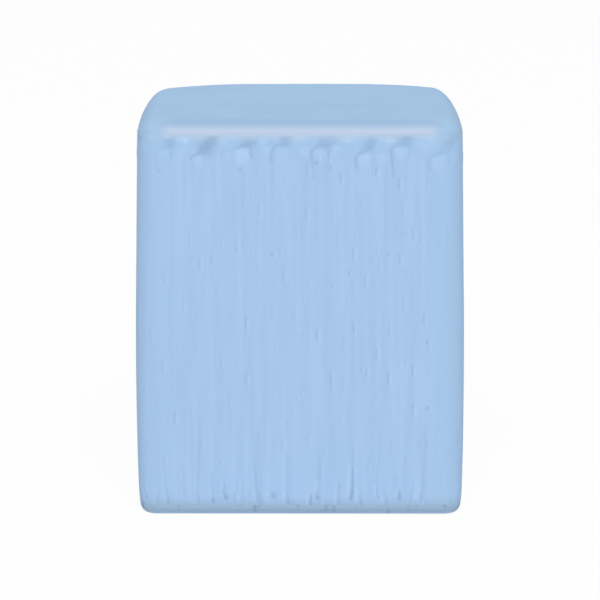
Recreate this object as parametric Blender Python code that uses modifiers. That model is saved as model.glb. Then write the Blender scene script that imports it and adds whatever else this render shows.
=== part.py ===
"""A block of cue chalk: a pressed chalk block with a paper wrap pasted round its four sides."""

import math

import bmesh
import bpy
from mathutils import Vector

# Chalk block
BLOCK_WIDTH = 0.02198
BLOCK_HEIGHT = 0.0269
UPRIGHT_EDGE_RADIUS = 0.00145
TOP_EDGE_RADIUS = 0.0012
BASE_EDGE_RADIUS = 0.00065
DISH_WIDTH = 0.0165
DISH_DEPTH = 0.00025

# Paper wrap and the film of paste that holds it
PASTE_FILM = 0.00003
PAPER_THICKNESS = 0.00008
BARE_CHALK_OVER_BASE_EDGE = 0.0001
LAP_LENGTH = 0.004
LAP_RAMP = 0.0012

# Smoothness of the round forms, as counts of flats
CORNER_FLATS = 10
EDGE_FLATS = 8
WRAPPED_TOP_EDGE_FLATS = 1
DISH_FLATS = 72
DISH_RINGS = 8

# The dish cutter stands this far above the block's top
CUTTER_RISE = 0.0005

CHALK_BLUE = (0.38, 0.55, 0.78, 1.0)
PAPER_BLUE = (0.41, 0.59, 0.84, 1.0)


def clear_scene():
    for thing in list(bpy.data.objects):
        bpy.data.objects.remove(thing, do_unlink=True)


def new_collection(name):
    collection = bpy.data.collections.new(name)
    bpy.context.scene.collection.children.link(collection)
    return collection


def new_object(name, shape, collection):
    mesh = bpy.data.meshes.new(name)
    shape.to_mesh(mesh)
    shape.free()
    thing = bpy.data.objects.new(name, mesh)
    collection.objects.link(thing)
    return thing


def matt_material(name, colour, roughness):
    material = bpy.data.materials.new(name)
    material.use_nodes = True
    shader = material.node_tree.nodes["Principled BSDF"]
    shader.inputs["Base Color"].default_value = colour
    shader.inputs["Roughness"].default_value = roughness
    shader.inputs["Metallic"].default_value = 0.0
    return material


def round_edges(shape, edges, radius, flats):
    bmesh.ops.bevel(
        shape, geom=edges, offset=radius, segments=flats, profile=0.5, affect="EDGES"
    )


def rim_edges(shape, height):
    """The edges that lie at this height."""
    level = BLOCK_HEIGHT / 1000
    return [e for e in shape.edges if all(abs(v.co.z - height) < level for v in e.verts)]


def chalk_shape():
    shape = bmesh.new()
    bmesh.ops.create_cube(shape, size=1.0)
    bmesh.ops.scale(shape, vec=(BLOCK_WIDTH, BLOCK_WIDTH, BLOCK_HEIGHT), verts=shape.verts)
    bmesh.ops.translate(shape, vec=(0.0, 0.0, BLOCK_HEIGHT / 2), verts=shape.verts)
    upright = [e for e in shape.edges if e.verts[0].co.z != e.verts[1].co.z]
    round_edges(shape, upright, UPRIGHT_EDGE_RADIUS, CORNER_FLATS)
    round_edges(shape, rim_edges(shape, BLOCK_HEIGHT), TOP_EDGE_RADIUS, EDGE_FLATS)
    round_edges(shape, rim_edges(shape, 0.0), BASE_EDGE_RADIUS, EDGE_FLATS)
    return shape


def dish_profile():
    """Half of a lens: flat above the block, and a ball's cap down to the bottom of the dish."""
    half_width = DISH_WIDTH / 2
    ball_radius = (half_width**2 + DISH_DEPTH**2) / (2 * DISH_DEPTH)
    ball_centre = BLOCK_HEIGHT - DISH_DEPTH + ball_radius
    widest = math.acos(1 - (DISH_DEPTH + CUTTER_RISE) / ball_radius)
    points = [(0.0, BLOCK_HEIGHT + CUTTER_RISE)]
    for ring in range(DISH_RINGS + 1):
        angle = widest * (1 - ring / DISH_RINGS)
        points.append((ball_radius * math.sin(angle), ball_centre - ball_radius * math.cos(angle)))
    return points


def dish_cutter(collection):
    shape = bmesh.new()
    corners = [shape.verts.new((x, 0.0, z)) for x, z in dish_profile()]
    for upper, lower in zip(corners, corners[1:]):
        shape.edges.new((upper, lower))
    cutter = new_object("dish_cutter", shape, collection)
    turn = cutter.modifiers.new("turn", "SCREW")
    turn.axis = "Z"
    turn.steps = DISH_FLATS
    turn.render_steps = DISH_FLATS
    turn.use_merge_vertices = True
    turn.merge_threshold = 0.000001
    cutter.hide_render = True
    cutter.display_type = "WIRE"
    return cutter


def chalk_block(parts, cutters):
    block = new_object("chalk_block", chalk_shape(), parts)
    block.data.materials.append(matt_material("chalk", CHALK_BLUE, 0.85))
    block.data.shade_smooth()
    block.data.set_sharp_from_angle(angle=math.radians(20))
    dish = block.modifiers.new("dish", "BOOLEAN")
    dish.operation = "DIFFERENCE"
    dish.solver = "EXACT"
    dish.object = dish_cutter(cutters)
    return block


def corner_arc(turn_centre, radius, start_angle):
    """A quarter turn, clockwise from above."""
    for flat in range(CORNER_FLATS + 1):
        angle = start_angle - math.pi / 2 * flat / CORNER_FLATS
        yield turn_centre[0] + radius * math.cos(angle), turn_centre[1] + radius * math.sin(angle)


def wrap_path():
    """The strip's inner face in plan: once round the block from the back, then up over its own start."""
    side = BLOCK_WIDTH / 2 + PASTE_FILM
    radius = UPRIGHT_EDGE_RADIUS + PASTE_FILM
    straight = side - radius
    lap_side = side + PAPER_THICKNESS + PASTE_FILM
    path = [(-LAP_LENGTH / 2, side)]
    path += corner_arc((straight, straight), radius, math.pi / 2)
    path += corner_arc((straight, -straight), radius, 0.0)
    path += corner_arc((-straight, -straight), radius, -math.pi / 2)
    path += corner_arc((-straight, straight), radius, -math.pi)
    path.append((-LAP_LENGTH / 2 - LAP_RAMP, side))
    path.append((-LAP_LENGTH / 2, lap_side))
    path.append((LAP_LENGTH / 2, lap_side))
    return path


def raised_row(shape, row, rise, inset):
    """The strip's next row of edges, set up from the last one and in towards the block."""
    raised = bmesh.ops.extrude_edge_only(shape, edges=row)["geom"]
    corners = [part for part in raised if isinstance(part, bmesh.types.BMVert)]
    core = BLOCK_WIDTH / 2 - UPRIGHT_EDGE_RADIUS
    for corner in corners:
        x, y, z = corner.co
        core_point = Vector((max(-core, min(core, x)), max(-core, min(core, y)), z))
        corner.co += inset * (core_point - corner.co).normalized()
        corner.co.z += rise
    return [edge for edge in shape.edges if all(corner in corners for corner in edge.verts)]


def paper_wrap(parts):
    bottom = BASE_EDGE_RADIUS + BARE_CHALK_OVER_BASE_EDGE
    shape = bmesh.new()
    corners = [shape.verts.new((x, y, bottom)) for x, y in wrap_path()]
    row = [shape.edges.new(pair) for pair in zip(corners, corners[1:])]
    row = raised_row(shape, row, BLOCK_HEIGHT - TOP_EDGE_RADIUS - bottom, 0.0)
    # The upper edge is turned in over the start of the block's top rounding
    turn_radius = TOP_EDGE_RADIUS + PASTE_FILM
    for flat in range(WRAPPED_TOP_EDGE_FLATS):
        start_angle = math.pi / 2 * flat / EDGE_FLATS
        end_angle = math.pi / 2 * (flat + 1) / EDGE_FLATS
        rise = turn_radius * (math.sin(end_angle) - math.sin(start_angle))
        inset = turn_radius * (math.cos(start_angle) - math.cos(end_angle))
        row = raised_row(shape, row, rise, inset)
    wrap = new_object("paper_wrap", shape, parts)
    wrap.data.materials.append(matt_material("paper", PAPER_BLUE, 0.7))
    wrap.data.shade_smooth()
    wrap.data.set_sharp_from_angle(angle=math.radians(20))
    thickness = wrap.modifiers.new("thickness", "SOLIDIFY")
    thickness.thickness = PAPER_THICKNESS
    thickness.offset = 1.0
    thickness.use_even_offset = True
    return wrap


def main():
    clear_scene()
    parts = new_collection("cue_chalk_cube")
    cutters = new_collection("cutters")
    chalk_block(parts, cutters)
    paper_wrap(parts)


main()
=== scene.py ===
import math

import bmesh
import bpy
import numpy as np
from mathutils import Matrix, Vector


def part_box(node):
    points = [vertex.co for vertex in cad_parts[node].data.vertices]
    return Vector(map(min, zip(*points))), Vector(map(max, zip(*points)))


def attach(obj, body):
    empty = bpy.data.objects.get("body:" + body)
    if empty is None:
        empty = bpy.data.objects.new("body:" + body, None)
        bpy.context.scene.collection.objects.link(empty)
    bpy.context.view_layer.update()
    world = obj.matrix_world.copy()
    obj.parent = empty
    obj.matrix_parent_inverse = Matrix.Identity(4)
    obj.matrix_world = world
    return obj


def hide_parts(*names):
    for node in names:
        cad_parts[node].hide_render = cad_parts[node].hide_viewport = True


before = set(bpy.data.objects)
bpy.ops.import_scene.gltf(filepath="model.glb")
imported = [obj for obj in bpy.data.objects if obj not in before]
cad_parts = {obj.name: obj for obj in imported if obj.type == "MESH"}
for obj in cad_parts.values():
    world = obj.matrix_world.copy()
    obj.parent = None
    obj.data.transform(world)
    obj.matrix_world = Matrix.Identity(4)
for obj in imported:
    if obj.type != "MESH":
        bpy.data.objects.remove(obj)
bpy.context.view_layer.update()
print("frame loaded:", ", ".join(sorted(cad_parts)))

mm = 0.001
tiny = 0.001 * mm    # keeps a division off zero
blockLow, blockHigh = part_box("chalk_block")
wrapLow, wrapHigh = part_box("paper_wrap")


# helpers for shapes

def smoothStep(value):
    value = np.clip(value, 0.0, 1.0)
    return value * value * (3.0 - 2.0 * value)


def latticeNoise(u, v, uPitch, vPitch, seed):
    # soft noise from -1 to 1 over a flat sheet, with its own pitch each way
    rng = np.random.default_rng(seed)
    u = (u - u.min()) / uPitch
    v = (v - v.min()) / vPitch
    knots = rng.uniform(-1.0, 1.0, (int(u.max()) + 2, int(v.max()) + 2))
    i = u.astype(int)
    j = v.astype(int)
    a = smoothStep(u - i)
    b = smoothStep(v - j)
    near = knots[i, j] * (1 - a) + knots[i + 1, j] * a
    far = knots[i, j + 1] * (1 - a) + knots[i + 1, j + 1] * a
    return near * (1 - b) + far * b


def readPoints(shape):
    shape.verts.ensure_lookup_table()
    return np.array([v.co for v in shape.verts])


def movePoints(shape, places):
    for v, place in zip(shape.verts, places):
        v.co = place


def markPoints(shape, name, values):
    layer = shape.verts.layers.float.new(name)
    for v, value in zip(shape.verts, values):
        v[layer] = value


def finishPiece(shape, name, material, sharpAngle=30.0):
    mesh = bpy.data.meshes.new(name)
    shape.to_mesh(mesh)
    shape.free()
    mesh.materials.append(material)
    mesh.shade_smooth()
    mesh.set_sharp_from_angle(angle=math.radians(sharpAngle))
    piece = bpy.data.objects.new(name, mesh)
    bpy.context.scene.collection.objects.link(piece)
    return piece


# helpers for materials

def newMaterial(name):
    material = bpy.data.materials.new(name)
    material.use_nodes = True
    tree = material.node_tree
    return material, tree, tree.nodes["Principled BSDF"]


def addNode(tree, kind, **settings):
    node = tree.nodes.new(kind)
    for key, value in settings.items():
        setattr(node, key, value)
    return node


def setInputs(node, **values):
    for key, value in values.items():
        node.inputs[key.replace("_", " ")].default_value = value


def feed(tree, socket, value):
    # links another node's output, or sets a number or a colour
    if isinstance(value, bpy.types.NodeSocket):
        tree.links.new(value, socket)
    else:
        socket.default_value = value


def mixColours(tree, factor, first, second):
    mix = addNode(tree, "ShaderNodeMix", data_type="RGBA")
    # a mix of colours uses its sockets 0, 6 and 7, and puts out its socket 2
    feed(tree, mix.inputs[0], factor)
    feed(tree, mix.inputs[6], first)
    feed(tree, mix.inputs[7], second)
    return mix.outputs[2]


def mapRange(tree, value, fromLow, fromHigh, toLow, toHigh):
    node = addNode(tree, "ShaderNodeMapRange")
    ends = {"Value": value, "From Min": fromLow, "From Max": fromHigh, "To Min": toLow, "To Max": toHigh}
    for name, end in ends.items():
        feed(tree, node.inputs[name], end)
    return node.outputs["Result"]


def joinValues(tree, operation, first, second):
    node = addNode(tree, "ShaderNodeMath", operation=operation)
    feed(tree, node.inputs[0], first)
    feed(tree, node.inputs[1], second)
    return node.outputs[0]


def readMark(tree, name):
    return addNode(tree, "ShaderNodeAttribute", attribute_name=name).outputs["Fac"]


def stretch(tree, vector, scale, shift=(0.0, 0.0, 0.0)):
    node = addNode(tree, "ShaderNodeMapping")
    setInputs(node, Scale=scale, Location=shift)
    tree.links.new(vector, node.inputs["Vector"])
    return node.outputs["Vector"]


def newGroup(name, inputs, outputs):
    # a shader node group whose inputs are a vector and numbers, and whose outputs are numbers
    tree = bpy.data.node_groups.new(name, "ShaderNodeTree")
    tree.interface.new_socket("Vector", in_out="INPUT", socket_type="NodeSocketVector")
    for socket in inputs:
        tree.interface.new_socket(socket, in_out="INPUT", socket_type="NodeSocketFloat")
    for socket in outputs:
        tree.interface.new_socket(socket, in_out="OUTPUT", socket_type="NodeSocketFloat")
    return tree, addNode(tree, "NodeGroupInput").outputs, addNode(tree, "NodeGroupOutput").inputs


# fine grain and slow mottle of a powdery surface, shared by the chalk and the paper

powder = {
    "detail": {"Grain": 4.0, "Mottle": 2.0},
    "roughness": 0.6,
}


def powderGrain():
    names = powder["detail"]
    tree, given, result = newGroup("powderGrain", [name + " Scale" for name in names], names)
    for name, detail in names.items():
        speck = addNode(tree, "ShaderNodeTexNoise")
        setInputs(speck, Detail=detail, Roughness=powder["roughness"])
        tree.links.new(given["Vector"], speck.inputs["Vector"])
        tree.links.new(given[name + " Scale"], speck.inputs["Scale"])
        tree.links.new(speck.outputs["Fac"], result[name])
    return tree


grainGroup = powderGrain()


def addGrain(tree, vector, **scales):
    node = addNode(tree, "ShaderNodeGroup", node_tree=grainGroup)
    tree.links.new(vector, node.inputs["Vector"])
    setInputs(node, **scales)
    return node.outputs


# small marks at random places, at most one to a cell, in the chalk's bulk and on the flat paper

scatter = {
    "core": 0.2,    # share of a mark's reach that is at full strength
}


def scatteredMarks(dimensions):
    tree, given, result = newGroup("scatteredMarks" + dimensions, ("Reach", "Rarity"), ("Mark",))
    cells = addNode(tree, "ShaderNodeTexVoronoi", voronoi_dimensions=dimensions)
    setInputs(cells, Scale=1.0, Randomness=1.0)
    tree.links.new(given["Vector"], cells.inputs["Vector"])
    chance = addNode(tree, "ShaderNodeSeparateColor")
    tree.links.new(cells.outputs["Color"], chance.inputs["Color"])
    core = joinValues(tree, "MULTIPLY", given["Reach"], scatter["core"])
    shape = mapRange(tree, cells.outputs["Distance"], core, given["Reach"], 1.0, 0.0)
    kept = mapRange(tree, chance.outputs["Red"], given["Rarity"], 1.0, 0.0, 1.0)
    tree.links.new(joinValues(tree, "MULTIPLY", shape, kept), result["Mark"])
    return tree


markGroups = {dimensions: scatteredMarks(dimensions) for dimensions in ("2D", "3D")}


def addMarks(tree, vector, dimensions, reach, rarity):
    node = addNode(tree, "ShaderNodeGroup", node_tree=markGroups[dimensions])
    tree.links.new(vector, node.inputs["Vector"])
    setInputs(node, Reach=reach, Rarity=rarity)
    return node.outputs["Mark"]


def addBump(tree, shader, height, distance, strength):
    bump = addNode(tree, "ShaderNodeBump")
    setInputs(bump, Distance=distance, Strength=strength)
    tree.links.new(height, bump.inputs["Height"])
    tree.links.new(bump.outputs["Normal"], shader.inputs["Normal"])


# the pressing: sides that swell at half height, corners drawn in towards the top and squarer at the foot
# the handling: back corners worn, the upper rim painted pale as wear and as a painted highlight, and painted
# shade at the front corners and along the foot

pressing = {
    "topLoss": 0.14 * mm,     # the sides are drawn in this much at the top
    "footLoss": 0.226 * mm,   # and at the foot
    "fullerRight": 0.15,      # the foot is a little fuller on the right
    "footTuck": 0.04 * mm,    # the sides turn in a little just above the base
    "tuckHeight": 1.6 * mm,
    "squareFoot": 0.13 * mm,  # and the corners are squarer there
    "squareReach": 0.2,       # as a share of the height
    "squareStart": 0.87,      # as a share of the way from a side's middle to its corner
    "cornerLoss": 0.32 * mm,  # the corners are drawn in further towards the top
    "topRadius": 1.2 * mm,
    "wear": 0.345 * mm,       # the back corners of the rim are worn down
    "wearStart": 10.36 * mm,
    "wearReach": 4.0 * mm,
    "wearShift": 0.4 * mm,    # the left back corner is worn most
    "flare": 0.096 * mm,      # the bare rims stand out level with the paper beside them
    "flareZone": 0.3 * mm,
    "edgeWave": 0.14 * mm,    # the paper's upper edge isn't cut straight
    "highlightDrop": 0.915 * mm,  # the rim's painted highlight is brightest this far below the top
    "highlightHeight": 0.385 * mm,
    "highlightReach": 8.85 * mm,
    "highlightFade": 0.8 * mm,
    "highlightWaves": ((3.1 * mm, 1.0), (1.9 * mm, 2.6)),  # its lower edge is uneven: lengths and starts
    "highlightWave": 0.16,
    "highlightLower": 0.92,
    "otherRims": 0.4,
    "footShadeMiddle": 0.42 * mm,  # the painted shade round the foot
    "footShadeHeight": 0.56 * mm,
    "footShadeBelow": 0.32 * mm,
    "footShadeShare": 0.91,
    "cornerShade": 0.28,      # painted shade at the two front corners
    "cornerStart": 0.77,      # as shares of the half width
    "cornerWidth": 0.15,
}


def flare(z):
    # none behind the paper, and all of it from the paper's two long edges on
    nearEdge = np.maximum(z - wrapHigh.z + pressing["edgeWave"], wrapLow.z - z)
    return pressing["flare"] * smoothStep(1 + nearEdge / pressing["flareZone"])


def shadedFoot(z):
    # chalk and paper alike are painted darker towards the base, as shade
    p = pressing
    above = z - blockLow.z - p["footShadeMiddle"]
    return p["footShadeShare"] * np.exp(-((above / np.where(above > 0, p["footShadeHeight"], p["footShadeBelow"])) ** 2))


def frontCorners(x, y):
    # 1 at the two front corners and 0 on the sides between
    p = pressing
    toFront = smoothStep((-y / wrapHigh.x - p["cornerStart"]) / p["cornerWidth"])
    toSide = smoothStep((np.abs(x) / wrapHigh.x - p["cornerStart"]) / p["cornerWidth"])
    return toFront * toSide


def rimWearAndHighlight(alongRim, z, atFront):
    # how much the upper rim is painted pale, as wear and as a painted highlight: most of all at the front
    # and not at the corners
    p = pressing
    below = blockHigh.z - p["highlightDrop"] - z
    wave = sum(np.sin(2 * math.pi * alongRim / length + start) for length, start in p["highlightWaves"])
    height = p["highlightHeight"] * np.where(below > 0, p["highlightLower"] + p["highlightWave"] * wave, 1.0)
    share = np.exp(-((below / height) ** 2))
    share = share * (1 - smoothStep((np.abs(alongRim) - p["highlightReach"]) / p["highlightFade"]))
    return share * np.where(atFront, 1.0, p["otherRims"])


def pressed(x, y, z):
    p = pressing
    half = wrapHigh.x
    level = np.clip((z - blockLow.z) / (blockHigh.z - blockLow.z), 0, 1)
    footLoss = p["footLoss"] * (1 - p["fullerRight"] * (1 + x / half))
    loss = p["topLoss"] * np.clip(2 * level - 1, 0, 1) + footLoss * np.clip(1 - 2 * level, 0, 1) ** 3
    loss = loss + p["footTuck"] * smoothStep(1 - (z - blockLow.z) / p["tuckHeight"])
    cornerLoss = p["cornerLoss"] * level
    onRim = np.clip(1 - (blockHigh.z - z) / p["topRadius"], 0, 1)
    worn = np.clip((np.hypot(x - p["wearShift"], y) - p["wearStart"]) / p["wearReach"], 0, None) ** 2
    lower = p["wear"] * worn * onRim * np.clip(y / half, 0, 1)
    newX = x * (1 - (loss + cornerLoss * (y / half) ** 2) / half)
    newY = y * (1 - (loss + cornerLoss * (x / half) ** 2) / half)
    ring = np.maximum(np.maximum(np.abs(x), np.abs(y)), tiny)
    toCorner = np.minimum(np.abs(x), np.abs(y)) / ring
    inCorner = smoothStep((toCorner - p["squareStart"]) / (1 - p["squareStart"]))
    square = p["squareFoot"] * inCorner * (ring / half) ** 4
    square = square * np.clip(1 - level / p["squareReach"], 0, 1) ** 2
    return np.stack([newX + np.sign(x) * square, newY + np.sign(y) * square, z - lower], 1)


# chalk: the pressed block, bare on its top, its two rims and its base

chalkBlock = {
    "uprightRadius": 1.45 * mm,
    "baseRadius": 0.58 * mm,
    "dishWidth": 16.5 * mm,
    "dishDepth": 0.25 * mm,
    "dishCurve": 1.4,
    "unevenness": 0.01 * mm,
    "unevenPitch": 0.9 * mm,
    "unevenSeed": 11,
    "cuts": 119,
    "sideFlat": 0.8,     # share of each side's columns that lie between its rounded edges
    "faceFlat": 0.82,    # share of the top's and the base's rings that lie inside the rim
    "sideRows": 0.86,    # share of the side's rows that lie between the rims
    "evenRows": 0.35,    # how evenly they are spaced, the rest being closer to the rims
    "sharpAngle": 60.0,
    "highlightTurn": 30.0,  # the rim's painted highlight is all there this far round from the top face, in degrees
    "shoulderShadeTurn": 46.0,    # a painted shade line on the rim's shoulder, in degrees from the top face
    "shoulderShadeWidth": 30.0,
    "shoulderShadeStart": 0.6,    # as a share of the top's half width
    "shoulderShadeElsewhere": 0.3,
    "shoulderShadeLeftOut": 0.85,  # how much of that line the front corners lack
    "frontStart": 0.78,  # as shares of the half width
    "frontWidth": 0.15,
    "cornerTurn": 20.0,  # painted shade at the front corners starts here, in degrees from the top face
    "cornerTurnWidth": 40.0,
    "colour": (0.395, 0.592, 0.82, 1.0),
    "mottleColour": (0.382, 0.574, 0.80, 1.0),
    # painted shade on the rim's shoulder and the front corners
    "paintedShadeColour": (0.316, 0.46, 0.645, 1.0),
    # painted shade along the foot
    "footShadeColour": (0.322, 0.463, 0.60, 1.0),
    "chipColour": (0.17, 0.27, 0.40, 1.0),
    # the rim's pale colour: partly wear, partly a painted highlight
    "wearAndHighlightColour": (0.50, 0.602, 0.76, 1.0),
    "grainScale": 2600.0,
    "mottleScale": 260.0,
    "mottleRange": (0.35, 0.65),
    "fleckRange": (0.58, 0.74),
    "fleckStrength": 0.2,
    "poreScale": (1400.0, 1400.0, 1400.0),
    "poreReach": 0.2,
    "poreRarity": 0.2,
    "poreStrength": 0.22,
    "chipScale": (2000.0, 2000.0, 400.0),
    "chipReach": 0.42,
    "chipRarity": 0.2,
    "chipFootShade": 0.3,         # chips lie only where the foot has its painted shade
    "chipLow": 0.1 * mm,     # and grow from here up to the paper
    "chipGrowth": (0.35, 1.4),
    "bumpHeight": 0.03 * mm,
    "bumpStrength": 0.3,
    "roughness": 0.88,
    "rubbedRoughness": 0.5,
    "gloss": 0.12,
}


def chalkMaterial():
    c = chalkBlock
    material, tree, shader = newMaterial("pressedChalk")
    place = addNode(tree, "ShaderNodeTexCoord").outputs["Object"]
    grains = addGrain(tree, place, Grain_Scale=c["grainScale"], Mottle_Scale=c["mottleScale"])
    shade = mapRange(tree, grains["Mottle"], *c["mottleRange"], 0.0, 1.0)
    colour = mixColours(tree, shade, c["mottleColour"], c["colour"])
    # pale flecks in the grain take the rim's pale colour
    fleck = mapRange(tree, grains["Grain"], *c["fleckRange"], 0.0, c["fleckStrength"])
    colour = mixColours(tree, fleck, colour, c["wearAndHighlightColour"])
    pores = addMarks(tree, stretch(tree, place, c["poreScale"]), "3D", c["poreReach"], c["poreRarity"])
    pitted = mapRange(tree, pores, 0.0, 1.0, 0.0, c["poreStrength"])
    colour = mixColours(tree, pitted, colour, c["chipColour"])
    # painted shade on the shoulder and corners, painted shade along the foot, and the rim's wear with its
    # painted highlight
    paintedShade, footShade, wearAndHighlight = (readMark(tree, name) for name in ("paintedShade", "footShade", "wearAndHighlight"))
    colour = mixColours(tree, paintedShade, colour, c["paintedShadeColour"])
    colour = mixColours(tree, footShade, colour, c["footShadeColour"])
    colour = mixColours(tree, wearAndHighlight, colour, c["wearAndHighlightColour"])
    chips = addMarks(tree, stretch(tree, place, c["chipScale"]), "3D", c["chipReach"], c["chipRarity"])
    chips = joinValues(tree, "MULTIPLY", chips, mapRange(tree, footShade, 0.0, c["chipFootShade"], 0.0, 1.0))
    level = addNode(tree, "ShaderNodeSeparateXYZ")
    tree.links.new(place, level.inputs[0])
    growth = mapRange(tree, level.outputs["Z"], c["chipLow"], wrapLow.z, *c["chipGrowth"])
    chips = joinValues(tree, "MULTIPLY", chips, growth)
    colour = mixColours(tree, chips, colour, c["chipColour"])
    tree.links.new(colour, shader.inputs["Base Color"])
    rough = mapRange(tree, wearAndHighlight, 0.0, 1.0, c["roughness"], c["rubbedRoughness"])
    tree.links.new(rough, shader.inputs["Roughness"])
    setInputs(shader, Specular_IOR_Level=c["gloss"])
    height = joinValues(tree, "SUBTRACT", grains["Grain"], pores)
    addBump(tree, shader, height, c["bumpHeight"], c["bumpStrength"])
    return material


def squareRing(across, along, half, radius, flatShare):
    # moves the edge of a square from -1 to 1 onto a square ring with rounded corners
    size = np.maximum(np.abs(across), np.abs(along))
    size = np.where(size == 0, 1.0, size)
    onX = np.abs(across) >= np.abs(along)
    lead = np.sign(np.where(onX, across, along))
    t = np.where(onX, along, across) / size
    turn = np.clip((np.abs(t) - flatShare) / (1 - flatShare), 0, 1) * math.pi / 4
    straight = half - radius
    outward = lead * (straight + radius * np.cos(turn))
    sideways = np.sign(t) * (straight * np.minimum(np.abs(t) / flatShare, 1) + radius * np.sin(turn))
    return np.where(onX, outward, sideways), np.where(onX, sideways, outward)


def buildChalk():
    c = chalkBlock
    halfWidth = (blockHigh.x - blockLow.x) / 2
    height = blockHigh.z - blockLow.z
    block = bmesh.new()
    bmesh.ops.create_cube(block, size=2.0)
    bmesh.ops.subdivide_edges(block, edges=block.edges, cuts=c["cuts"], use_grid_fill=True)
    across, along, level = readPoints(block).T
    ring = np.maximum(np.abs(across), np.abs(along))
    upper = level > 0
    onFace = np.isclose(np.abs(level), 1.0)
    # how far each point has gone round its rim: none on the face, a quarter turn on the side
    faceTurn = np.clip((ring - c["faceFlat"]) / (1 - c["faceFlat"]), 0, 1)
    sideTurn = 1 + np.clip((1 - np.abs(level)) / (1 - c["sideRows"]), 0, 1)
    turn = np.where(onFace, faceTurn, sideTurn) * math.pi / 4
    topRadius = pressing["topRadius"]
    rimRadius = np.where(upper, topRadius, c["baseRadius"])
    inset = rimRadius * (1 - np.sin(turn))
    drop = rimRadius * (1 - np.cos(turn))
    sideTop = height - topRadius
    upTheSide = np.clip(level / c["sideRows"], -1, 1)
    upTheSide = c["evenRows"] * upTheSide + (1 - c["evenRows"]) * np.sin(upTheSide * math.pi / 2)
    straightSide = c["baseRadius"] + (sideTop - c["baseRadius"]) * (upTheSide + 1) / 2
    z = np.where(upper, height - drop, drop)
    z = np.where(np.abs(level) < c["sideRows"], straightSide, z) + blockLow.z
    shrink = np.where(onFace, np.minimum(ring / c["faceFlat"], 1.0), 1.0)
    half = (halfWidth + flare(z) - inset) * shrink
    x, y = squareRing(across, along, half, (c["uprightRadius"] + flare(z) - inset) * shrink, c["sideFlat"])
    # a shallow dish with a soft edge where the tip turns
    inDish = np.clip(1 - (2 * np.hypot(x, y) / c["dishWidth"]) ** 2, 0, 1) ** c["dishCurve"]
    uneven = c["unevenness"] * latticeNoise(x, y, c["unevenPitch"], c["unevenPitch"], c["unevenSeed"])
    z = z + np.where(onFace & upper, uneven - c["dishDepth"] * inDish, 0.0)
    movePoints(block, pressed(x, y, z))
    # the upper rim painted pale as wear and as a painted highlight, painted shade on its shoulder and front
    # corners, and painted shade along the foot
    turn = np.degrees(turn)
    onX = np.abs(across) >= np.abs(along)
    wearAndHighlight = rimWearAndHighlight(np.where(onX, y, x), z, ~onX & (along < 0)) * smoothStep(turn / c["highlightTurn"])
    markPoints(block, "wearAndHighlight", np.where(upper, wearAndHighlight, 0.0))
    shoulder = np.exp(-(((turn - c["shoulderShadeTurn"]) / c["shoulderShadeWidth"]) ** 2))
    shoulder = shoulder * smoothStep((ring - c["shoulderShadeStart"]) / (c["faceFlat"] - c["shoulderShadeStart"]))
    atFront = smoothStep((-y / halfWidth - c["frontStart"]) / c["frontWidth"])
    atCorner = frontCorners(x, y)
    onFront = atFront - c["shoulderShadeLeftOut"] * atCorner
    shoulder = shoulder * (c["shoulderShadeElsewhere"] + (1 - c["shoulderShadeElsewhere"]) * onFront)
    turned = smoothStep((turn - c["cornerTurn"]) / c["cornerTurnWidth"])
    shoulder = np.maximum(shoulder, pressing["cornerShade"] * turned * atCorner)
    markPoints(block, "paintedShade", np.where(upper, shoulder, 0.0))
    markPoints(block, "footShade", np.where(upper, 0.0, shadedFoot(z)))
    bmesh.ops.recalc_face_normals(block, faces=block.faces)
    piece = finishPiece(block, "chalkBlockPiece", chalkMaterial(), c["sharpAngle"])
    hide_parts("chalk_block")
    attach(piece, "root")
    print("chalk block pressed:", len(piece.data.polygons), "faces")


# paper: one strip, laid flat, creased, then wrapped round the block and lapped at the back

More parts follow.
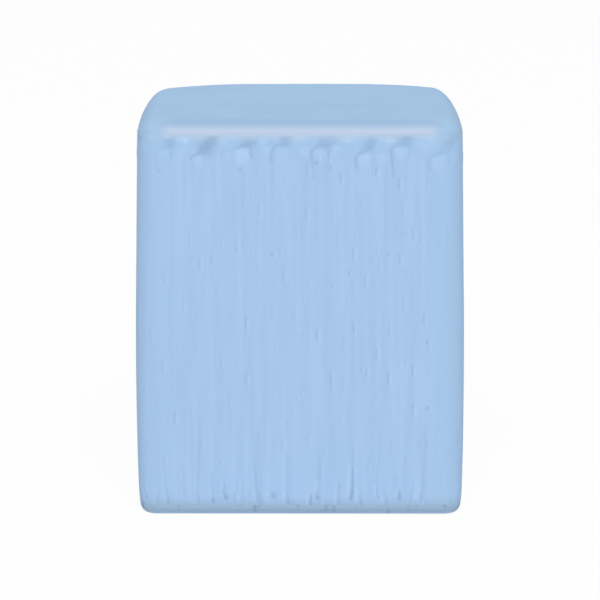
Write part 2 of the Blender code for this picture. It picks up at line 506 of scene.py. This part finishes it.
paperWrap = {
    "lap": 4.0 * mm,
    "lapRamp": 1.2 * mm,
    "paper": 0.08 * mm,
    "paste": 0.03 * mm,
    "edgeGap": 0.002 * mm,    # between the long edges and the chalk that swells under them
    "hiddenGap": 0.004 * mm,  # and as much more behind the edges
    "hiddenStart": 0.06 * mm,
    "leastPaper": 0.003 * mm,
    "thinned": 0.012 * mm,    # the lower edge is pressed down level with the chalk
    "thinZone": 0.3 * mm,
    "deepest": 0.7,           # furrows go no deeper than this share of the paper
    "wavePitch": 0.9 * mm,    # the upper edge's wave
    "waveReach": 1.0 * mm,
    "waveSeed": 31,
    "markSeed": 7,
    "columns": 960,
    "rows": 84,
    "backRows": 17,
    "backEdgeRows": 5,        # closer rows behind each long edge
    "topZone": 3.2 * mm,      # closer rows where the upper edge puckers
    "topZoneRows": 0.42,
    "baseZone": 3.4 * mm,     # and where the lower edge is nicked
    "baseZoneRows": 0.3,
    "dustHeight": 0.5 * mm,   # chalk dust lies on the upper edge
    "ribStart": 0.7 * mm,     # the ribs begin below the puckers
    "ribFade": 1.5 * mm,
    "ribsAtTop": 0.25,
    "plainStart": 0.88,       # the marks fade towards the rounded edges, from this share of a flat side
    "plainer": 0.6,
    "sharpAngle": 50.0,
    "sheetUnit": 10.0,        # millimetres of the flat strip to one step of its map
    "ribs": ((0.5, 18.0), (0.4, 6.0)),  # width and length in millimetres
    "ribRange": (0.6, 1.4),
    "waver": 0.06,            # how far the ribs waver to a side, in millimetres
    "waverCells": (1.6, 3.5),
    "ragged": 0.12,           # how ragged the marks' edges are, in millimetres
    "raggedCells": (0.16, 0.3),
    # dark marks are painted shade in small dents, and the pale marks shifted beside them are painted
    # highlight
    "marks": (
        # tint, cell width and height in millimetres, shift, reach in cells, rarity, strength
        ("creaseShadeColour", 0.8, 3.2, (0.0, 0.0), 0.2, 0.58, 0.3),
        ("crownHighlightColour", 0.8, 3.2, (0.18, 0.1), 0.2, 0.5, 0.48),
        ("creaseShadeColour", 0.5, 1.4, (3.0, 7.0), 0.24, 0.6, 0.18),
        ("crownHighlightColour", 0.5, 1.4, (3.14, 7.05), 0.24, 0.5, 0.31),
        ("creaseShadeColour", 1.3, 2.3, (5.0, 2.0), 0.1, 0.85, 0.42),
        ("crownHighlightColour", 1.3, 2.3, (5.2, 2.15), 0.1, 0.85, 0.3),
    ),
    "colour": (0.377, 0.556, 0.811, 1.0),
    "paleColour": (0.402, 0.584, 0.843, 1.0),
    "plainColour": (0.382, 0.571, 0.822, 1.0),
    # painted highlight on lobe crowns, beside nicks and dents, and under the rim
    "crownHighlightColour": (0.47, 0.66, 0.92, 1.0),
    # painted shade in the furrows, nicks, pits, outlines and dents
    "creaseShadeColour": (0.22, 0.345, 0.54, 1.0),
    # the rim's pale colour on the paper's upper edge: partly wear, partly a painted highlight
    "wearAndHighlightColour": (0.495, 0.62, 0.80, 1.0),
    "mottleScale": 3.0,
    "mottleRange": (0.3, 0.7),
    "roughness": (0.65, 0.78),
    "gloss": 0.15,
    "bumpHeight": 0.015 * mm,
    "bumpStrength": 0.4,
}


def paperMaterial():
    p = paperWrap
    material, tree, shader = newMaterial("wrapPaper")
    sheet = addNode(tree, "ShaderNodeUVMap", uv_map="sheet").outputs["UV"]

    def sheetNoise(vector, wide, tall):
        # noise on the flat strip, in cells of this size in millimetres
        noise = addNode(tree, "ShaderNodeTexNoise", noise_dimensions="2D")
        setInputs(noise, Scale=1.0, Detail=0.0)
        cells = stretch(tree, vector, (p["sheetUnit"] / wide, p["sheetUnit"] / tall, 1.0))
        tree.links.new(cells, noise.inputs["Vector"])
        return noise.outputs

    def shifted(vector, shift):
        node = addNode(tree, "ShaderNodeVectorMath", operation="ADD")
        tree.links.new(vector, node.inputs[0])
        tree.links.new(shift, node.inputs[1])
        return node.outputs[0]

    # the ribs waver a little as they run up the strip, and the marks on them have ragged edges
    waver = p["waver"] / p["sheetUnit"]
    sideways = addNode(tree, "ShaderNodeCombineXYZ")
    sway = mapRange(tree, sheetNoise(sheet, *p["waverCells"])["Fac"], 0.0, 1.0, -waver, waver)
    tree.links.new(sway, sideways.inputs["X"])
    bent = shifted(sheet, sideways.outputs[0])
    ragged = addNode(tree, "ShaderNodeVectorMath", operation="SCALE")
    setInputs(ragged, Scale=p["ragged"] / p["sheetUnit"])
    tree.links.new(sheetNoise(sheet, *p["raggedCells"])["Color"], ragged.inputs[0])
    torn = shifted(bent, ragged.outputs[0])
    ribs = [sheetNoise(bent, wide, tall)["Fac"] for wide, tall in p["ribs"]]
    height = joinValues(tree, "ADD", *ribs)
    colour = mixColours(tree, mapRange(tree, height, *p["ribRange"], 0.0, 1.0), p["colour"], p["paleColour"])
    for tint, wide, tall, shift, reach, rarity, strength in p["marks"]:
        scale = (p["sheetUnit"] / wide, p["sheetUnit"] / tall, 1.0)
        cells = stretch(tree, torn, scale, (shift[0] / wide, shift[1] / tall, 0.0))
        mark = addMarks(tree, cells, "2D", reach, rarity)
        colour = mixColours(tree, mapRange(tree, mark, 0.0, 1.0, 0.0, strength), colour, p[tint])
        height = joinValues(tree, "ADD" if tint == "crownHighlightColour" else "SUBTRACT", height, mark)
    colour = mixColours(tree, readMark(tree, "ribbed"), p["plainColour"], colour)
    # tints over the ribs: chalk dust, painted shade, painted highlight and the rim's wear
    chalk = chalkBlock
    tints = {"dusted": chalk["colour"], "paintedShade": chalk["paintedShadeColour"], "footShade": chalk["footShadeColour"]}
    tints.update({"creaseShade": p["creaseShadeColour"], "crownHighlight": p["crownHighlightColour"], "wearAndHighlight": p["wearAndHighlightColour"]})
    for name, tint in tints.items():
        colour = mixColours(tree, readMark(tree, name), colour, tint)
    tree.links.new(colour, shader.inputs["Base Color"])
    mottle = addGrain(tree, sheet, Mottle_Scale=p["mottleScale"])["Mottle"]
    rough = mapRange(tree, mottle, *p["mottleRange"], *p["roughness"])
    tree.links.new(rough, shader.inputs["Roughness"])
    setInputs(shader, Specular_IOR_Level=p["gloss"])
    addBump(tree, shader, height, p["bumpHeight"], p["bumpStrength"])
    return material


# the strip's relief, in its mesh: flutes all over, puckers under the upper edge and nicks over the lower
# one, with painted shade and painted highlight along them

flutes = {
    "seed": 20,
    "sizes": (
        # depth, width and length
        (0.012 * mm, 0.8 * mm, 14.0 * mm),
        (0.008 * mm, 0.42 * mm, 5.0 * mm),
    ),
}

# a pair is the least and the most, but widths and tapers are at a line's start and end,
# sways and runs are spreads along the edge and up it, and a spread shapes a draw from 0 to 1

puckers = {
    "count": 32,
    "shift": 0.25 * mm,
    "stray": (-0.08, 0.08),           # as a share of the way to the next one
    "reach": (0.6 * mm, 1.7 * mm),    # the furrow's run along the edge
    "fall": (0.5 * mm, 1.2 * mm),     # and down from it
    "start": (0.26 * mm, 0.44 * mm),  # below the edge
    "bendReach": 0.45,                # the furrow bends at these shares of its reach and its fall
    "bendFall": 0.6,
    "broad": (0.26 * mm, 0.54 * mm),
    "startBroad": 0.7,                # as shares of that breadth
    "bendBroad": 0.8,
    "fine": 0.09 * mm,                # where the furrow ends
    "shade": (0.32, 0.64),
    "bendShade": 0.9,                 # as a share of that shade
    "depth": 0.05 * mm,
    "bendDepth": 0.04 * mm,
    "forked": 0.6,                    # share of the furrows with a second arm
    "forkSide": 1.15,                 # in half widths of the lobe
    "forkDrop": (0.0, 0.6),
    "forkBroad": 0.5,
    "forkShade": 0.75,
    "forkDepth": 0.02 * mm,
    "blots": 3,
    "blotPlace": (-0.1, 1.1),         # as a share of the way down to the bend
    "blotSway": (0.12 * mm, 0.08 * mm),
    "blotWidth": (0.12 * mm, 0.22 * mm),
    "blotTaper": (1.0, 0.6),
    "blotRun": (0.25 * mm, 0.05 * mm),
    "blotDepth": 0.02 * mm,
    "blotShade": 0.08,                # darker than the furrow by this
    "lobePlace": 0.6,                 # as a share of the way from the bend to the furrow's end
    "lobeDrop": 0.85,                 # in half heights of the lobe
    "lobeWide": (0.42 * mm, 0.66 * mm),
    "lobeTall": (0.32 * mm, 0.5 * mm),
    "lobeHeight": 0.025 * mm,
    "lobeHighlight": (0.18, 0.58),
    "lobeOutline": (0.1, 0.4),
    "besideCount": (1, 4),            # smaller lobes beside it, fewer than the second number
    "besideGap": (1.0 * mm, 2.1 * mm),
    "besideRise": (-0.1 * mm, 0.5 * mm),
    "besideSize": (0.3 * mm, 0.5 * mm),
    "besideTall": 0.7,
    "besideHeight": 0.02 * mm,
    "besideHighlight": (0.1, 0.36),
    "besideOutline": (0.0, 0.14),
    "tailSides": (1.2, -1.15),        # thin lines down both sides of the lobe, in its half widths
    "tailLean": 0.2,
    "tailRise": (-0.1, 0.4),
    "tailLength": (0.3 * mm, 1.6 * mm),
    "tailWidths": (0.12 * mm, 0.06 * mm),
    "tailDepth": 0.02 * mm,
    "tailShade": 0.34,
    "tailSpread": (0.9, 1.6),
    "gleams": 2,                      # pale spots between the puckers, a painted highlight under the rim
    "gleamShift": (0.8 * mm, 2.0 * mm),
    "gleamDrop": (0.05 * mm, 0.4 * mm),
    "gleamWide": (0.25 * mm, 0.65 * mm),
    "gleamTall": (0.12 * mm, 0.24 * mm),
    "gleamShade": (0.3, 1.0),
    "pitted": 0.7,                    # share of the puckers with a pit below
    "pitSway": 0.4 * mm,
    "pitDrop": (0.1 * mm, 0.7 * mm),
    "pitWidth": (0.09 * mm, 0.12 * mm),
    "pitShade": (0.25, 0.6),
}

nicks = {
    "count": 96,
    "stray": (0.05, 0.95),            # as a share of the way to the next one
    "foot": (-0.2 * mm, 0.58 * mm),   # above the lower edge
    "rise": (0.3 * mm, 1.0 * mm),
    "tall": 0.4,                      # share of the nicks that rise further
    "tallRise": (0.3 * mm, 1.8 * mm),
    "knee": (0.2, 0.5),               # as a share of the rise
    "kneeTaper": 0.8,
    "kneeSway": 0.1 * mm,
    "headSway": 0.08 * mm,
    "headWidth": 0.05 * mm,
    "width": (0.08 * mm, 0.14 * mm),
    "depth": 0.03 * mm,
    "headDepth": 0.02 * mm,
    "leastShade": 0.12,
    "shade": 0.74,
    "shadeSpread": (1.1, 1.7),
    "litGap": (0.14 * mm, 0.3 * mm),  # a painted highlight beside the nick, on its lit side
    "litStart": 0.2 * mm,
    "litTaper": (1.2, 1.0),
    "litShade": (0.15, 0.5),
    "dragged": 0.55,                  # share of the nicks that go on as a faint drag line
    "dragSway": 0.1 * mm,
    "dragLength": (0.8 * mm, 4.2 * mm),
    "dragWidths": (0.08 * mm, 0.06 * mm),
    "dragDepth": 0.01 * mm,
    "dragShade": (0.08, 0.24),
    "pitted": 0.45,                   # share of the nicks with a pit of painted shade at the foot
    "pitSway": 0.06 * mm,
    "pitRise": (-0.1 * mm, 0.15 * mm),
    "pitWidth": (0.1 * mm, 0.18 * mm),
    "pitShade": (0.25, 0.65),
}

lobes = {
    "around": 2.6,       # in half widths: how far round a lobe the sheet is reworked
    "edge": 1.25,
    "highlightEdge": 1.3,
    "longer": 1.9,       # a lobe runs out further below than above
    "outlineWidth": 0.22,
    "outlineSide": (0.3, 1.4),
}

pits = {
    "depth": 0.04 * mm,
    "tipSway": 0.1 * mm,
    "tipRise": (0.1 * mm, 0.3 * mm),
    "tipTaper": (0.8, 0.5),
    "tipDepth": 0.01 * mm,
    "tipShade": 0.6,
}


def paperRelief(s, z, girth):
    bottom = wrapLow.z
    top = wrapHigh.z
    relief = np.zeros(len(s))
    creaseShade = np.zeros(len(s))
    crownHighlight = np.zeros(len(s))
    rng = np.random.default_rng(paperWrap["markSeed"])
    for n, (depth, pitch, length) in enumerate(flutes["sizes"]):
        relief += depth * latticeNoise(s, z, pitch, length, flutes["seed"] + n)

    def draw(span):
        return rng.uniform(*span)

    def sway(spread):
        return rng.normal(0, spread)

    def nearTo(start, end, reach):
        inside = (s > min(start[0], end[0]) - reach) & (s < max(start[0], end[0]) + reach)
        inside &= (z > min(start[1], end[1]) - reach) & (z < max(start[1], end[1]) + reach)
        return np.flatnonzero(inside)

    def stroke(start, end, startWidth, endWidth, depth, shade, shades):
        # a line pressed from start to end, with a soft edge, and shade or highlight painted along it into
        # the given marks
        near = nearTo(start, end, 3 * max(startWidth, endWidth))
        ds = end[0] - start[0]
        dz = end[1] - start[1]
        along = (s[near] - start[0]) * ds + (z[near] - start[1]) * dz
        t = np.clip(along / (ds * ds + dz * dz + tiny**2), 0, 1)
        gap = np.hypot(s[near] - start[0] - t * ds, z[near] - start[1] - t * dz)
        press = np.exp(-((gap / (startWidth + t * (endWidth - startWidth))) ** 2))
        relief[near] -= depth * press
        shades[near] = np.maximum(shades[near], shade * press)

    def lobe(centre, wide, tall, height, shade, outline):
        # a small lobe standing off the sheet, with a painted highlight on its crown and a painted shade
        # outline over its upper left
        near = nearTo(centre, centre, lobes["around"] * max(wide, tall))
        u = (s[near] - centre[0]) / wide
        v = (z[near] - centre[1]) / tall
        size = np.hypot(u, np.where(v < 0, v / lobes["longer"], v))
        relief[near] += height * smoothStep(lobes["edge"] - size)
        crownHighlight[near] = np.maximum(crownHighlight[near], shade * smoothStep(lobes["highlightEdge"] - size))
        facing = draw(lobes["outlineSide"])
        onSide = smoothStep(u * math.cos(facing) + v * math.sin(facing))
        edge = outline * np.exp(-(((size - lobes["edge"]) / lobes["outlineWidth"]) ** 2)) * onSide
        creaseShade[near] = np.maximum(creaseShade[near], edge)

    def pit(place, width, shade):
        stroke(place, place, width, width, pits["depth"], shade, creaseShade)
        tip = (place[0] + sway(pits["tipSway"]), place[1] + draw(pits["tipRise"]))
        widths = (width * taper for taper in pits["tipTaper"])
        stroke(place, tip, *widths, pits["tipDepth"], pits["tipShade"] * shade, creaseShade)

    # puckers: a furrow painted with shade falls to the left from the upper edge and bends over a lobe with a
    # painted highlight
    p = puckers
    for n in range(p["count"]):
        place = p["shift"] + (n + draw(p["stray"])) * girth / p["count"]
        reach = draw(p["reach"])
        fall = draw(p["fall"])
        broad = draw(p["broad"])
        shade = draw(p["shade"])
        head = (place - 0.5 * reach, top - draw(p["start"]))
        middle = (head[0] + p["bendReach"] * reach, head[1] - p["bendFall"] * fall)
        foot = (head[0] + reach, head[1] - fall)
        stroke(head, middle, p["startBroad"] * broad, broad, p["depth"], shade, creaseShade)
        bendShade = p["bendShade"] * shade
        stroke(middle, foot, p["bendBroad"] * broad, p["fine"], p["bendDepth"], bendShade, creaseShade)
        for k in range(p["blots"]):
            t = draw(p["blotPlace"])
            blotS = head[0] + t * (middle[0] - head[0]) + sway(p["blotSway"][0])
            blotZ = head[1] + t * (middle[1] - head[1]) + sway(p["blotSway"][1])
            width = draw(p["blotWidth"])
            widths = (width * taper for taper in p["blotTaper"])
            end = (blotS + sway(p["blotRun"][0]), blotZ + sway(p["blotRun"][1]))
            stroke((blotS, blotZ), end, *widths, p["blotDepth"], shade + p["blotShade"], creaseShade)
        wide = draw(p["lobeWide"])
        tall = draw(p["lobeTall"])
        toEnd = p["lobePlace"]
        centre = (toEnd * foot[0] + (1 - toEnd) * middle[0], foot[1] - p["lobeDrop"] * tall)
        lobe(centre, wide, tall, p["lobeHeight"], draw(p["lobeHighlight"]), draw(p["lobeOutline"]))
        for k in range(rng.integers(*p["besideCount"])):
            beside = (centre[0] - draw(p["besideGap"]), centre[1] + draw(p["besideRise"]))
            size = draw(p["besideSize"])
            besideHighlight = draw(p["besideHighlight"])
            besideTall = p["besideTall"] * size
            lobe(beside, size, besideTall, p["besideHeight"], besideHighlight, draw(p["besideOutline"]))
        if rng.random() < p["forked"]:
            # the furrow forks, and one arm goes down the other side of the lobe
            side = (centre[0] - p["forkSide"] * wide, centre[1] - draw(p["forkDrop"]) * tall)
            forkShade = p["forkShade"] * shade
            stroke(middle, side, p["forkBroad"] * broad, p["fine"], p["forkDepth"], forkShade, creaseShade)
        for edge in p["tailSides"]:
            start = (centre[0] + edge * wide, centre[1] + draw(p["tailRise"]) * tall)
            tail = (start[0] - p["tailLean"] * edge * wide, start[1] - draw(p["tailLength"]))
            tailShade = p["tailShade"] * rng.beta(*p["tailSpread"])
            stroke(start, tail, *p["tailWidths"], p["tailDepth"], tailShade, creaseShade)
        for k in range(p["gleams"]):
            gleam = (place + draw(p["gleamShift"]), top - draw(p["gleamDrop"]))
            gleamWide = draw(p["gleamWide"])
            lobe(gleam, gleamWide, draw(p["gleamTall"]), 0.0, draw(p["gleamShade"]), 0.0)
        if rng.random() < p["pitted"]:
            spot = (centre[0] + sway(p["pitSway"]), centre[1] - tall - draw(p["pitDrop"]))
            pit(spot, draw(p["pitWidth"]), draw(p["pitShade"]))
    # nicks run up from the lower edge, thin and a little bent and painted with shade, some from a pit of
    # painted shade at the foot
    p = nicks
    for n in range(p["count"]):
        place = (n + draw(p["stray"])) * s.max() / p["count"]
        foot = (place, bottom + draw(p["foot"]))
        rise = draw(p["rise"]) + (rng.random() < p["tall"]) * draw(p["tallRise"])
        knee = (place + sway(p["kneeSway"]), foot[1] + draw(p["knee"]) * rise)
        head = (knee[0] + sway(p["headSway"]), foot[1] + rise)
        width = draw(p["width"])
        shade = p["leastShade"] + p["shade"] * rng.beta(*p["shadeSpread"])
        kneeWidth = p["kneeTaper"] * width
        stroke(foot, knee, width, kneeWidth, p["depth"], shade, creaseShade)
        stroke(knee, head, kneeWidth, p["headWidth"], p["headDepth"], p["kneeTaper"] * shade, creaseShade)
        beside = draw(p["litGap"])
        lit = (foot[0] + beside, foot[1] + p["litStart"])
        widths = (width * taper for taper in p["litTaper"])
        stroke(lit, (head[0] + beside, head[1]), *widths, 0.0, draw(p["litShade"]), crownHighlight)
        if rng.random() < p["dragged"]:
            end = (head[0] + sway(p["dragSway"]), head[1] + draw(p["dragLength"]))
            stroke(head, end, *p["dragWidths"], p["dragDepth"], draw(p["dragShade"]), creaseShade)
        if rng.random() < p["pitted"]:
            spot = (foot[0] + sway(p["pitSway"]), foot[1] + draw(p["pitRise"]))
            pit(spot, draw(p["pitWidth"]), draw(p["pitShade"]))
    return relief, creaseShade, crownHighlight


def buildWrap():
    p = paperWrap
    radius = chalkBlock["uprightRadius"] + p["paste"] + p["paper"]
    straight = wrapHigh.x - radius
    sideLength = 2 * straight + radius * math.pi / 2
    girth = 4 * sideLength
    stripLength = girth + p["lap"]

    def bend(s):
        # place and outward direction in plan, at a distance along the strip's outer face
        q = s - p["lap"] / 2 + straight
        sideCount = np.floor(q / sideLength)
        q = q - sideCount * sideLength
        facing = (1 - sideCount) * math.pi / 2
        heading = facing - math.pi / 2
        angle = facing - np.clip((q - 2 * straight) / radius, 0, math.pi / 2)
        alongSide = np.minimum(q, 2 * straight) - straight
        nx = np.cos(angle)
        ny = np.sin(angle)
        x = straight * np.cos(facing) + alongSide * np.cos(heading) + radius * nx
        y = straight * np.sin(facing) + alongSide * np.sin(heading) + radius * ny
        return x, y, nx, ny, alongSide, sideCount % 4 == 2

    # the strip's rows go up its outer face, over the upper edge, down its inner face and back to the start
    rows = p["rows"] + p["backRows"] + 1
    strip = bmesh.new()
    bmesh.ops.create_grid(strip, x_segments=p["columns"], y_segments=rows, size=0.5)
    flat = readPoints(strip)
    s = (flat[:, 0] + 0.5) * stripLength
    row = np.rint((flat[:, 1] + 0.5) * rows) % rows
    onBack = row > p["rows"]
    bottom = wrapLow.z
    top = wrapHigh.z
    shares = (0, p["baseZoneRows"], 1 - p["topZoneRows"], 1)
    z = np.interp(row / p["rows"], shares, (bottom, bottom + p["baseZone"], top - p["topZone"], top))
    edgeRows = p["backEdgeRows"] + 1
    backRows = (p["rows"] + 1, p["rows"] + edgeRows, rows - edgeRows, rows - 1)
    backHeights = (top, top - pressing["flareZone"], bottom + pressing["flareZone"], bottom)
    z = np.where(onBack, np.interp(row, backRows, backHeights), z)
    relief, creaseShade, crownHighlight = paperRelief(s, z, girth)
    relief = np.clip(relief, -p["deepest"] * p["paper"], None) * smoothStep((s - p["lap"]) / p["lapRamp"])
    lift = (p["paper"] + p["paste"]) * smoothStep((s - girth + p["lapRamp"]) / p["lapRamp"])
    wave = latticeNoise(s, 0 * s, p["wavePitch"], mm, p["waveSeed"])
    edgeWave = pressing["edgeWave"] * (0.5 + 0.5 * wave)
    gap = p["edgeGap"] + p["hiddenGap"] * smoothStep(np.minimum(top - z, z - bottom) / p["hiddenStart"])
    z = z - edgeWave * smoothStep(1 - (top - z) / p["waveReach"])
    # the upper edge leans in over the start of the block's rim, and the chalk swells under both long edges
    rimRadius = pressing["topRadius"] + p["paste"] + p["paper"]
    overRim = np.clip(z - (blockHigh.z - pressing["topRadius"]), 0, None)
    lean = rimRadius - np.sqrt(rimRadius**2 - overRim**2)
    inner = np.maximum(lift - p["paper"], flare(z) - p["paper"] - p["paste"] + gap)
    thin = smoothStep(1 - (z - bottom) / p["thinZone"])
    outer = np.maximum(lift + relief * (1 - thin) - p["thinned"] * thin, inner + p["leastPaper"])
    x, y, nx, ny, alongSide, atFront = bend(s)
    offset = np.where(onBack, inner, outer) - lean
    movePoints(strip, pressed(x + nx * offset, y + ny * offset, z))
    atEdge = smoothStep((np.abs(alongSide) / straight - p["plainStart"]) / (1 - p["plainStart"]))
    below = smoothStep((top - z - p["ribStart"]) / p["ribFade"])
    marked = 1 - p["plainer"] * atEdge
    markPoints(strip, "ribbed", (p["ribsAtTop"] + (1 - p["ribsAtTop"]) * below) * marked)
    dust = np.exp(-(((top - z) / p["dustHeight"]) ** 2))
    markPoints(strip, "dusted", dust)
    # painted shade at the front corners under the paper's upper edge
    markPoints(strip, "paintedShade", pressing["cornerShade"] * dust * frontCorners(x, y))
    # painted shade in the furrows, nicks and pits, and painted highlight on the lobes and beside the nicks
    markPoints(strip, "creaseShade", creaseShade * marked)
    markPoints(strip, "crownHighlight", crownHighlight * marked)
    # painted shade along the lower edge
    markPoints(strip, "footShade", shadedFoot(z))
    markPoints(strip, "wearAndHighlight", rimWearAndHighlight(alongSide, z, atFront))
    sheet = strip.loops.layers.uv.new("sheet")
    unit = p["sheetUnit"] * mm
    for face in strip.faces:
        for loop in face.loops:
            k = loop.vert.index
            loop[sheet].uv = (s[k] / unit, z[k] / unit)
    bmesh.ops.remove_doubles(strip, verts=strip.verts, dist=0.1 * tiny)
    bmesh.ops.holes_fill(strip, edges=[e for e in strip.edges if e.is_boundary], sides=0)
    bmesh.ops.recalc_face_normals(strip, faces=strip.faces)
    piece = finishPiece(strip, "paperWrapPiece", paperMaterial(), p["sharpAngle"])
    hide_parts("paper_wrap")
    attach(piece, "root")
    print("paper strip wrapped:", len(piece.data.polygons), "faces,", round(stripLength / mm, 1), "mm long")


buildChalk()
buildWrap()


# floor, light and camera

studio = {
    "floorSize": 6.0,
    "floorColour": (0.86, 0.86, 0.86, 1.0),
    "floorRoughness": 0.9,
    "floorGlow": 0.95,        # how much of the floor is plain white to the camera
    "floorShine": 0.44,       # and to the object, as on a table lit from below
    "skyStrength": 0.38,
    "keyPlace": (0.05, -1.4125, 2.095),
    "keySize": 1.25,
    "keyPower": 42.9,
    "aimHeight": 13.0 * mm,
}


def seenDirectly(tree):
    # 1 for rays from the camera, in a mirror or through glass, and 0 for rays that carry light
    rays = addNode(tree, "ShaderNodeLightPath")
    total = rays.outputs["Is Camera Ray"]
    for name in ("Is Glossy Ray", "Is Transmission Ray"):
        total = joinValues(tree, "MAXIMUM", total, rays.outputs[name])
    return total


def buildFloor():
    floor = bmesh.new()
    bmesh.ops.create_grid(floor, x_segments=1, y_segments=1, size=studio["floorSize"] / 2)
    material, tree, shader = newMaterial("paleFloor")
    setInputs(shader, Base_Color=studio["floorColour"], Roughness=studio["floorRoughness"])
    setInputs(shader, Specular_IOR_Level=0.0)
    white = addNode(tree, "ShaderNodeEmission")
    mix = addNode(tree, "ShaderNodeMixShader")
    glow = mapRange(tree, seenDirectly(tree), 0.0, 1.0, studio["floorShine"], studio["floorGlow"])
    tree.links.new(glow, mix.inputs[0])
    tree.links.new(shader.outputs[0], mix.inputs[1])
    tree.links.new(white.outputs[0], mix.inputs[2])
    tree.links.new(mix.outputs[0], tree.nodes["Material Output"].inputs["Surface"])
    finishPiece(floor, "floor", material)


def buildSky():
    world = bpy.data.worlds.new("studioSky")
    bpy.context.scene.world = world
    world.use_nodes = True
    tree = world.node_tree
    sky = tree.nodes["Background"]
    setInputs(sky, Color=(1.0, 1.0, 1.0, 1.0))
    strength = mapRange(tree, seenDirectly(tree), 0.0, 1.0, studio["skyStrength"], 1.0)
    tree.links.new(strength, sky.inputs["Strength"])


def buildKeyPanel():
    light = bpy.data.lights.new("keyPanel", "AREA")
    light.shape = "SQUARE"
    light.size = studio["keySize"]
    light.energy = studio["keyPower"]
    place = Vector(studio["keyPlace"])
    lamp = bpy.data.objects.new("keyPanel", light)
    lamp.location = place
    aim = Vector((0.0, 0.0, studio["aimHeight"])) - place
    lamp.rotation_euler = aim.to_track_quat("-Z", "Y").to_euler()
    bpy.context.scene.collection.objects.link(lamp)


view = {
    "distance": 170.0 * mm,
    "elevation": 11.44,
    "aimHeight": 12.64 * mm,
    "lens": 143.97,
    "sensor": 36.0,
    "nearest": 0.01,
    "farthest": 20.0,
}


def buildCamera():
    camera = bpy.data.cameras.new("photoCamera")
    camera.lens = view["lens"]
    camera.sensor_width = view["sensor"]
    camera.clip_start = view["nearest"]
    camera.clip_end = view["farthest"]
    rise = math.radians(view["elevation"])
    aim = Vector((0.0, 0.0, view["aimHeight"]))
    eye = aim + view["distance"] * Vector((0.0, -math.cos(rise), math.sin(rise)))
    holder = bpy.data.objects.new("photoCamera", camera)
    holder.location = eye
    holder.rotation_euler = (aim - eye).to_track_quat("-Z", "Y").to_euler()
    bpy.context.scene.collection.objects.link(holder)
    bpy.context.scene.camera = holder


buildFloor()
buildSky()
buildKeyPanel()
buildCamera()
bpy.context.scene.view_settings.view_transform = "Standard"
print("studio set")
